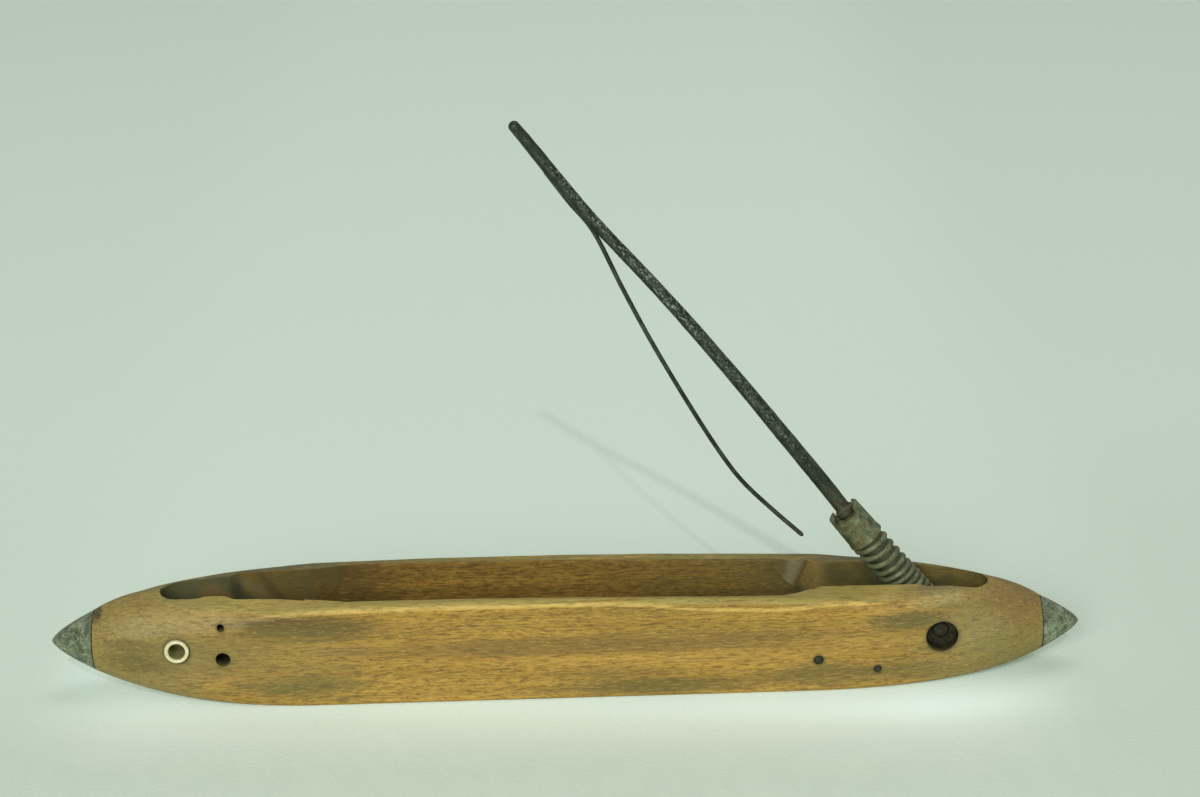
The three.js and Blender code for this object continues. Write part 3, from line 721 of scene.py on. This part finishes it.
def hull_point(u, v):
    way = 2 * u - 1
    reach = (1 - BUNCHING) * way + BUNCHING * sin(pi / 2 * way)
    x = reach * ((LEFT_BASE if reach < 0 else RIGHT_BASE) - FIT)
    half, top, bottom, top_round, low_round = section(x)
    corners = (
        (half - top_round, top - top_round, top_round),
        (top_round - half, top - top_round, top_round),
        (low_round - half, low_round - bottom, low_round),
        (half - low_round, low_round - bottom, low_round),
    )
    quarter, step = divmod(round(v * RING_STEPS) % RING_STEPS, CORNER_STEPS + SIDE_STEPS)
    y, z, radius = corners[quarter]
    angle = pi / 2 * (quarter + min(1, step / CORNER_STEPS))
    y += radius * cos(angle)
    z += radius * sin(angle)
    if step > CORNER_STEPS:
        part = (1 - cos(pi * (step - CORNER_STEPS) / SIDE_STEPS)) / 2
        next_y, next_z, next_radius = corners[(quarter + 1) % 4]
        y = lerp(y, next_y + next_radius * cos(angle), part)
        z = lerp(z, next_z + next_radius * sin(angle), part)
    if z > 0:
        z += rim_lift(x, y, half - top_round) * clamp((z - top + top_round) / top_round)
    place = Vector((x, y, z))
    hollow = WIDE_HOLLOWS[0] * ease(0.5 + 1.4 * noise.noise(place / WIDE_HOLLOWS[1]))
    hollow += SMALL_HOLLOWS[0] * ease(0.5 + noise.noise(place / SMALL_HOLLOWS[1]))
    if bottom + z > PLAIN_FOOT:
        y *= 1 - hollow / max(8.0, abs(y))
    return Vector((x, y, axis_z(x) + z))


def well_columns():
    """Points of the rim's back half, from left to right, each with the direction towards the middle."""
    columns = []
    arc_steps = 12
    bends, bend_reach = (-128, -94, 94), 5
    fine_step, plain_step = 0.8, 2.4
    (left_x, left_half), (right_x, right_half) = RIM[0], RIM[-1]
    for step in range(arc_steps):
        angle = pi / 2 * step / arc_steps
        away = Vector((-cos(angle), sin(angle)))
        columns.append((Vector((left_x, 0)) + left_half * away, -away))
    stops = [left_x]
    while stops[-1] < right_x - 0.5:
        fine = any(abs(stops[-1] - bend) < bend_reach for bend in bends)
        stops.append(min(right_x, stops[-1] + (fine_step if fine else plain_step)))
    columns += [(Vector((x, read_off(RIM, x))), Vector((0, -1))) for x in stops]
    for step in range(1, arc_steps + 1):
        angle = pi / 2 * (1 - step / arc_steps)
        away = Vector((cos(angle), sin(angle)))
        columns.append((Vector((right_x, 0)) + right_half * away, -away))
    return columns


def well_block():
    """The shape of the air in the well: half of it wrapped, then mirrored."""
    columns = well_columns()
    above_deck, lip_start = 46, 0.2
    lip_steps, wall_steps, fillet_steps, flat_steps = 4, 6, 5, 3
    levels = [("above", step / flat_steps) for step in range(flat_steps)]
    levels += [("above", 1.0)]
    levels += [("lip", lerp(lip_start, 1, step / lip_steps)) for step in range(lip_steps + 1)]
    levels += [("wall", step / wall_steps) for step in range(1, wall_steps)]
    levels += [("fillet", step / fillet_steps) for step in range(fillet_steps + 1)]
    levels += [("floor", step / flat_steps) for step in range(1, flat_steps + 1)]

    def place(u, v):
        rim, inwards = columns[round(u * (len(columns) - 1))]
        kind, part = levels[round(v * (len(levels) - 1))]
        half, top, _, top_round, _ = section(rim.x)
        deck = axis_z(rim.x) + top + rim_lift(rim.x, rim.y, half - top_round)
        floor = lerp(WELL_FLOOR, SLOT_FLOOR, ease((SLOT_START - rim.x) / SLOT_RAMP))
        inset, height, middle = 0.0, deck - LIP, 0.0
        if kind == "above":
            inset, height, middle = -LIP * (1 - sin(lip_start * pi / 2)), above_deck, 1 - part
        elif kind == "lip":
            inset = -LIP * (1 - sin(part * pi / 2))
            height = deck - LIP * (1 - cos(part * pi / 2))
        elif kind == "wall":
            height = lerp(deck - LIP, floor + FLOOR_FILLET, part)
        elif kind == "fillet":
            inset = FLOOR_FILLET * (1 - cos(part * pi / 2))
            height = floor + FLOOR_FILLET * (1 - sin(part * pi / 2))
        else:
            inset, height, middle = FLOOR_FILLET, floor, part
        point = rim + inwards * inset
        return Vector((point.x, max(0.0, point.y) * (1 - middle), height))

    made = bmesh.new()
    bmesh.ops.create_grid(made, x_segments=len(columns) - 1, y_segments=len(levels) - 1, size=0.5)
    for corner in made.verts:
        corner.co = place(corner.co.x + 0.5, corner.co.y + 0.5)
    bmesh.ops.mirror(made, geom=made.verts[:] + made.edges[:] + made.faces[:], axis="Y", merge_dist=-1)
    bmesh.ops.remove_doubles(made, verts=made.verts, dist=CUT_MERGE)
    return closed(made)


def corner_web(wall, rim, apex, inner, bulge, side):
    """A web of wood left in a corner of the wide well. It runs from a soft edge on the wall, through
    bulge down to apex, forward to a sharp edge that rises to inner at the rim."""
    above, into_wall = 8, 6
    made = bmesh.new()
    edge = [(rim[0], wall, rim[1] + above), (rim[0], wall, rim[1]), *bulge, apex]
    sharp = [(inner[0], inner[1], inner[2]), (inner[0], inner[1], inner[2] + above)]
    for x, y, z in (*edge, *sharp):
        made.verts.new((x, side * y, z))
        made.verts.new((x, side * (y + into_wall), z))
    bmesh.ops.convex_hull(made, input=made.verts)
    bmesh.ops.recalc_face_normals(made, faces=made.faces)
    return made


ALONG_Y = Matrix.Rotation(-pi / 2, 4, "X")
TOWARDS_FRONT = Matrix.Rotation(pi / 2, 4, "X")
BORE_SIDES = 40


def mouth(radius, face):
    """Profile of a hole's softened mouth, from inside to past the face."""
    flare, past = 0.35, 3
    start = face - flare
    profile = [(radius, start), (radius + 0.3 * flare, start + 0.7 * flare), (radius + flare, face)]
    return profile + [(radius + 1.2 * flare, face + past), (0, face + past)]


def bore(place, radius, low, face, way=TOWARDS_FRONT):
    """A cutter for a round hole along Y, from low to the wood's face as distances from its place."""
    profile = [(0, low), (radius, low)] + mouth(radius, face)
    return turned(profile, BORE_SIDES, Matrix.Translation(place) @ way)


def pin_bore(place, radius, face):
    """A cutter for a round hole along Y through both walls, with a softened mouth on each face."""
    half = mouth(radius, face)
    profile = [(out, -along) for out, along in reversed(half)] + half
    return turned(profile, BORE_SIDES, Matrix.Translation(place) @ ALONG_Y)


def wall_at(x):
    return section(x)[0]


def wooden_body():
    finishes = (WOOD, WELL_WOOD, BORE_SHADE_AND_GRIME, WEB_WOOD)
    hull = block_of("hull", wrapped(HULL_RINGS, RING_STEPS, hull_point), finishes)
    webs = [
        block_of("web", corner_web(*shape, side), finishes, 3)
        for side in (-1, 1)
        for shape in (LEFT_WEB, RIGHT_WEB)
    ]
    well = carved(block_of("well_air", well_block(), finishes, 1), webs)
    past_walls = 40
    recess_floor = wall_at(HINGE.x) - RECESS_DEPTH
    cutters = [
        bore(EYE, EYE_BORE, 0, wall_at(EYE.x)),
        bore(UPPER_HOLE, UPPER_BORE, 0, wall_at(UPPER_HOLE.x)),
        bore(LOWER_HOLE, LOWER_BORE, 0, wall_at(LOWER_HOLE.x)),
        bore(HINGE, HINGE_BORE, -past_walls, past_walls),
        bore(HINGE, RECESS_RADIUS, recess_floor, wall_at(HINGE.x)),
        bore(HINGE, RECESS_RADIUS, recess_floor, wall_at(HINGE.x), ALONG_Y),
    ]
    for pin, radius in ((OUTER_PIN, OUTER_PIN_RADIUS), (INNER_PIN, INNER_PIN_RADIUS)):
        cutters.append(pin_bore(pin, radius + PIN_ROOM, wall_at(pin.x)))
    tang_bore, tang_depth, past_base = TANG_RADIUS + 0.2, TANG_LENGTH + FIT, 2
    for side, base in ((-1, LEFT_BASE), (1, RIGHT_BASE)):
        place = Matrix.Translation((side * base, 0, axis_z(side * base)))
        profile = [(0, -tang_depth), (tang_bore, -tang_depth), (tang_bore, past_base), (0, past_base)]
        cutters.append(turned(profile, 32, place @ Matrix.Rotation(side * pi / 2, 4, "Y")))
    blocks = [block_of("well", well, finishes, 1)]
    blocks += [block_of("hole", cutter, finishes, 2) for cutter in cutters]
    piece("wooden_body", carved(hull, blocks), finishes, "shuttle_body", "shuttle", 30)


def steel_point(name, node, side, radius, length):
    steps, bunching, fullness = 22, 1.5, 0.7
    tang_edge, base_edge = 0.4, 0.25
    base = side * (LEFT_BASE if side < 0 else RIGHT_BASE)
    profile = [(0, -TANG_LENGTH), (TANG_RADIUS - tang_edge, -TANG_LENGTH)]
    profile += [(TANG_RADIUS, tang_edge - TANG_LENGTH), (TANG_RADIUS, 0)]
    profile += [(radius - base_edge, 0), (radius, base_edge)]
    for step in range(1, steps):
        from_tip = (1 - step / steps) ** bunching
        profile.append((radius * from_tip**fullness, length * (1 - from_tip)))
    profile.append((0, length))
    place = Matrix.Translation((base, 0, axis_z(base))) @ Matrix.Rotation(side * pi / 2, 4, "Y")
    piece(name, turned(profile, 64, place), (POINT_STEEL,), node, "shuttle")


def thread_eye():
    proud, back = 0.8, 8.9
    inside, outside, lip_depth, lip_steps = 3.1, 4.9, 1.2, 12
    face = wall_at(EYE.x) + proud
    profile = [(inside, back), (outside, back)]
    for step in range(lip_steps + 1):
        angle = pi * step / lip_steps
        radius = (inside + outside) / 2 + (outside - inside) / 2 * cos(angle)
        profile.append((radius, face - lip_depth + lip_depth * sin(angle)))
    profile.append((inside, back))
    place = Matrix.Translation(EYE) @ TOWARDS_FRONT
    piece("porcelain_eye", turned(profile, 56, place), (PORCELAIN,), "thread_eye", "shuttle")


def pin(name, node, place, radius, end):
    soft = 0.35 * radius
    half = [(radius, end - soft), (radius - 0.3 * soft, end - 0.3 * soft), (radius - soft, end), (0, end)]
    profile = [(out, -along) for out, along in reversed(half)] + half
    made = turned(profile, 32, Matrix.Translation(place) @ ALONG_Y)
    piece(name, made, (PIN_STEEL,), node, "shuttle")


def heel_leaf():
    """Flat spring below the outer pin, over the inner one and up under the heel."""
    heights = (
        (OUTER_PIN.x - 6, OUTER_PIN.z - 2.95),
        (OUTER_PIN.x, OUTER_PIN.z - 2.55),
        (INNER_PIN.x, INNER_PIN.z + 2.1),
        (HINGE.x, HINGE.z - 7.2),
        (HINGE.x + 6, HINGE.z - 7.6),
    )
    path = through([Vector((x, 0, z)) for x, z in heights])
    half_width, half_thick = 4.5, 0.6

    def place(u, v):
        along = direction(path, u)
        out = Vector((-along.z, 0, along.x))
        corner = int(v * 4 + 0.5) % 4
        across = (1, -1, -1, 1)[corner]
        up = (1, 1, -1, -1)[corner]
        return path(u) + Vector((0, across * half_width, 0)) + out * up * half_thick

    made = wrapped(40, 4, place)
    piece("heel_leaf", made, (TONGUE_IRON,), "heel_spring", "shuttle")


def bend_at(s):
    return -BEND * sin(3 * pi * s / ROD_LENGTH)


def rod_radius(s):
    return lerp(ROOT_RADIUS, TIP_RADIUS, s / ROD_LENGTH)


def rod_path(s):
    return Vector((bend_at(s) + read_off(ROD_SWAY, s), 0, s))


def grip_path():
    """The wire lies in the rod's groove, leaves it and bows out below it."""
    leaving, bow_end, bow_depth = 205, 92, 23.2

    def sunk(s):
        return bend_at(s) - rod_radius(s) - GRIP_WIRE + 0.95

    start = sunk(leaving)
    buried = ((235, 0.75), (220, 0.35), (leaving, 0))
    bowed = ((0.29, 0.21), (0.55, 0.42), (0.79, 0.66), (0.95, 0.86))
    points = [Vector((sunk(s) + deeper, 0, s)) for s, deeper in buried]
    for out, along in bowed:
        points.append(Vector((start - (bow_depth + start) * out, 0, lerp(leaving, bow_end, along))))
    points += [Vector((-bow_depth, 0, bow_end)), Vector((-21.7, 0, 75.7)), Vector((-19.4, 0, 59.4))]
    return through(points)


def bowed_wire():
    wire_length, taper = 180, 0.8

    def radius(u, angle):
        from_end = min(u, 1 - u) * wire_length
        return GRIP_WIRE * (0.6 + 0.4 * ease(from_end / taper))

    made = tube(grip_path(), radius, 150, 14, Vector((0, 1, 0)))
    made.transform(TONGUE)
    dressed = piece("bowed_wire", made, (TONGUE_IRON,), "grip_spring", None)
    start = TONGUE @ rod_path(232)
    end = TONGUE @ rod_path(178)
    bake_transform(dressed)


def tongue_rod():
    shoulder_low = 55.9
    shoulder_high = 58.9
    blunt = 1.5
    length = ROD_LENGTH - TIP_SHORT

    def radius(u, angle):
        s = u * length
        bare_and_glints = rod_radius(s) * read_off(ROD_SWELL, s)
        plain = lerp(CORE_RADIUS, bare_and_glints, ease((s - CORE_TOP) / 0.4))
        at = Vector((2 * cos(angle), 2 * sin(angle), s / 3.2))
        plain -= 0.05 * ease(0.5 + noise.noise(at)) + 0.04 * ease(0.5 + noise.noise(at * 3.1))
        if shoulder_low <= s <= shoulder_high:
            plain = 3.9 - 0.9 * ease(s - shoulder_high + 1)
        from_end = length - s
        if from_end < blunt:
            plain -= (plain - 0.9) * (1 - from_end / blunt) ** 2
        return plain

    rod = tube(lambda u: rod_path(u * length), radius, 420, 28, Vector((0, 1, 0)))
    heel_half = 7.4
    heel_profile = [(3.3, -heel_half), (5.7, -heel_half), (6.3, 0.6 - heel_half)]
    heel_profile += [(6.3, heel_half - 0.6), (5.7, heel_half), (3.3, heel_half), (3.3, -heel_half)]
    heel = turned(heel_profile, 48, ALONG_Y)
    finishes = (TONGUE_IRON,)
    groove = tube(grip_path(), lambda u, angle: GRIP_WIRE + 0.12, 150, 14, Vector((0, 1, 0)))
    pin_hole = turned([(0, -9), (3.25, -9), (3.25, 9), (0, 9)], 32, ALONG_Y)
    bar = block_of("bar", rod, finishes)
    made = carved(bar, [block_of("cut", cutter, finishes) for cutter in (groove, pin_hole)])
    made.from_mesh(mesh_of("heel", heel))
    made.transform(TONGUE)
    piece("tongue_bar", made, finishes, "tongue_rod", "tongue")


def slotted_collar():
    bottom = COLLAR_TOP - COLLAR_LENGTH
    radius = COLLAR_RADIUS
    profile = [
        (3.2, bottom), (radius + 0.35, bottom), (radius + 0.6, bottom + 0.3),
        (radius + 0.55, bottom + 1.2), (radius + 0.3, bottom + 2.4), (radius + 0.2, bottom + 7),
        (radius, COLLAR_TOP - 0.4), (radius - 0.1, COLLAR_TOP - 0.1), (radius - 0.3, COLLAR_TOP),
        (3.4, COLLAR_TOP), (3.2, COLLAR_TOP - 0.3), (3.2, bottom),
    ]
    collar = block_of("collar", turned(profile, 64, Matrix.Identity(4)), (COLLAR_STEEL,))
    slot = bmesh.new()
    bmesh.ops.create_cube(slot, size=1)
    bmesh.ops.scale(slot, vec=(8.6, 30, 4.4), verts=slot.verts)
    bmesh.ops.translate(slot, vec=(0, 0, COLLAR_TOP), verts=slot.verts)
    made = carved(collar, [block_of("slot", slot, (COLLAR_STEEL,))])
    bmesh.ops.translate(made, vec=(bend_at(COLLAR_TOP - COLLAR_LENGTH / 2), 0, 0), verts=made.verts)
    made.transform(TONGUE)
    piece("slotted_collar", made, (COLLAR_STEEL,), "tongue_collar", "tongue")


def heel_coil():
    """The coil below the collar. Turns are counted down from its upper end, which lies level."""
    low, high = 7.75, 41.35
    level, even, close = 0.5, 2.75, 4.75
    pitch, fine_pitch = 4.0, 2.85
    right_turn = 0.75

    def drop(turns):
        closing = clamp(turns - even, 0, close - even)
        evenly = min(turns, level) ** 2 / (2 * level) + max(0, turns - level)
        lost = closing**2 / (2 * (close - even)) + max(0, turns - close)
        return pitch * evenly - (pitch - fine_pitch) * lost

    turns = close + (high - low - drop(close)) / fine_pitch

    def path(u):
        s = high - drop(u * turns)
        angle = TURN * (u * turns - right_turn)
        return Vector((bend_at(s) + COIL_RADIUS * cos(angle), COIL_RADIUS * sin(angle), s))

    made = tube(path, lambda u, angle: COIL_WIRE, round(44 * turns), 14, Vector((0, 0, 1)))
    made.transform(TONGUE)
    piece("heel_coil", made, (COIL_STEEL,), "coil_spring", "tongue")


wooden_body()
steel_point("left_steel_point", "left_point", -1, LEFT_RADIUS, 17.3)
steel_point("right_steel_point", "right_point", 1, RIGHT_RADIUS, 15.0)
thread_eye()
pin("hinge_pin_steel", "hinge_pin", HINGE, HINGE_PIN_RADIUS, wall_at(HINGE.x) - HINGE_PIN_SUNK)
pin("outer_pin_steel", "outer_cross_pin", OUTER_PIN, OUTER_PIN_RADIUS, wall_at(OUTER_PIN.x) - FIT)
pin("inner_pin_steel", "inner_cross_pin", INNER_PIN, INNER_PIN_RADIUS, wall_at(INNER_PIN.x) - FIT)
heel_leaf()
bowed_wire()
tongue_rod()
slotted_collar()
heel_coil()


# Floor, light and camera
def pale_floor():
    made = bmesh.new()
    bmesh.ops.create_grid(made, x_segments=1, y_segments=1, size=9.0)
    finish = Finish("pale_cloth", {"Specular IOR Level": 0.1})
    x, y, _ = finish.axes()
    shade = finish.noise((900, 700, 200), detail=2, seed=51)
    cloth = finish.noise((14, 22, 14), detail=4, roughness=0.6, seed=55)
    weave = finish.noise((1.6, 1.6, 1.6), detail=2, seed=53)
    colour = finish.mix(shade.between(0.3, 0.7), tint(216, 231, 212), tint(219, 234, 215))
    colour = finish.mix(cloth.between(0.35, 0.7) * 0.2, colour, tint(200, 216, 198))
    # Painted light: brighter from just ahead of the shuttle to behind it. Painted shade: darker out to
    # the sides, less on the left.
    colour = finish.mix(y.between(-70, 20) * 0.9, colour, tint(226, 242, 226))
    sides = abs(x).between(150, 260) * (0.4 + 0.4 * x.between(-100, 100))
    colour = finish.mix(sides * (1 - 0.45 * y.between(60, 300)), colour, tint(211, 227, 210))
    # A painted pool of light just ahead of the shuttle, the light its front face throws back onto the
    # floor: brighter in colour, and giving off a little light of its own
    ahead = y + (x * 0.06 - 3)
    near = y.between(60, 10) * x.between(206, 130) * x.between(-216, -150)
    colour = finish.mix(ahead.between(-90, -30) * near, colour, tint(240, 250, 236))
    glow = finish.mix(ahead.between(-66, -26) * near, tint(0, 0, 0), tint(74, 96, 82))
    glow = finish.mix(ahead.between(-50, -27) * near, glow, tint(100, 122, 122))
    finish.tree.links.new(glow.socket, finish.shader.inputs["Emission Color"])
    finish.shader.inputs["Emission Strength"].default_value = 1.0
    cloth_finish = finish.made_of(colour, 0.8 + 0.1 * weave, finish.bump(weave, 0.2))
    placed("pale_floor", mesh_of("pale_floor", made, (cloth_finish,)))


def lamp(name, kind, place, target, energy, **settings):
    data = bpy.data.lights.new(name, kind)
    data.energy = energy
    for setting, value in settings.items():
        setattr(data, setting, value)
    made = placed(name, data)
    made.location = place
    made.rotation_euler = (Vector(target) - Vector(place)).to_track_quat("-Z", "Y").to_euler()


def studio():
    lamp("key", "AREA", (-0.95, -3.5, 1.75), (0, 0, 0.03), 84, shape="DISK", size=1.8)
    lamp("top", "AREA", (0.3, 0.7, 1.9), (0, 0.2, 0), 6, shape="DISK", size=1.4)
    lamp("hard_front", "SUN", (0.0, -1.3, 1.0), (0, 0, 0), 0.42, angle=radians(1.0))
    world = bpy.data.worlds.new("studio")
    bpy.context.scene.world = world
    world.use_nodes = True
    nodes, links = world.node_tree.nodes, world.node_tree.links
    even = nodes["Background"]
    even.inputs["Color"].default_value = (0.96, 1.0, 0.96, 1)
    even.inputs["Strength"].default_value = 0.37
    seen = nodes.new("ShaderNodeBackground")
    seen.inputs["Color"].default_value = tint(196, 212, 197)
    rays = nodes.new("ShaderNodeLightPath")
    choice = nodes.new("ShaderNodeMixShader")
    links.new(rays.outputs["Is Camera Ray"], choice.inputs["Fac"])
    links.new(even.outputs["Background"], choice.inputs[1])
    links.new(seen.outputs["Background"], choice.inputs[2])
    links.new(choice.outputs["Shader"], nodes["World Output"].inputs["Surface"])
    bpy.context.scene.view_settings.view_transform = "Standard"


def photo_camera():
    """The camera that sees the shuttle's middle at the photograph's pixel, in an image of 1200 by 797."""
    image_width, image_height = 1200, 797
    focal_pixels = 2950.0
    target, pixel = Vector((0.64, 0, 18.7)), (567.0, 630.0)
    sight, distance, roll = radians(25), 1153.45, radians(-1.70)
    right_pixels, down_pixels = pixel[0] - image_width / 2, pixel[1] - image_height / 2
    c, s = cos(roll), sin(roll)
    level_x = c * right_pixels + s * down_pixels
    level_y = c * down_pixels - s * right_pixels
    pitch = sight - atan2(level_y, focal_pixels)
    ahead = Vector((0, cos(pitch), -sin(pitch)))
    right = Vector((1, 0, 0))
    up = right.cross(ahead)
    line = (ahead + right * (level_x / focal_pixels) - up * (level_y / focal_pixels)).normalized()
    place = (target - line * distance) * MM
    camera = bpy.data.cameras.new("camera")
    camera.sensor_width = 36
    camera.lens = 36 * focal_pixels / image_width
    made = placed("camera", camera)
    axes = Matrix((c * right + s * up, c * up - s * right, -ahead)).transposed()
    made.matrix_world = Matrix.Translation(place) @ axes.to_4x4()
    bpy.context.scene.camera = made


pale_floor()
studio()
photo_camera()
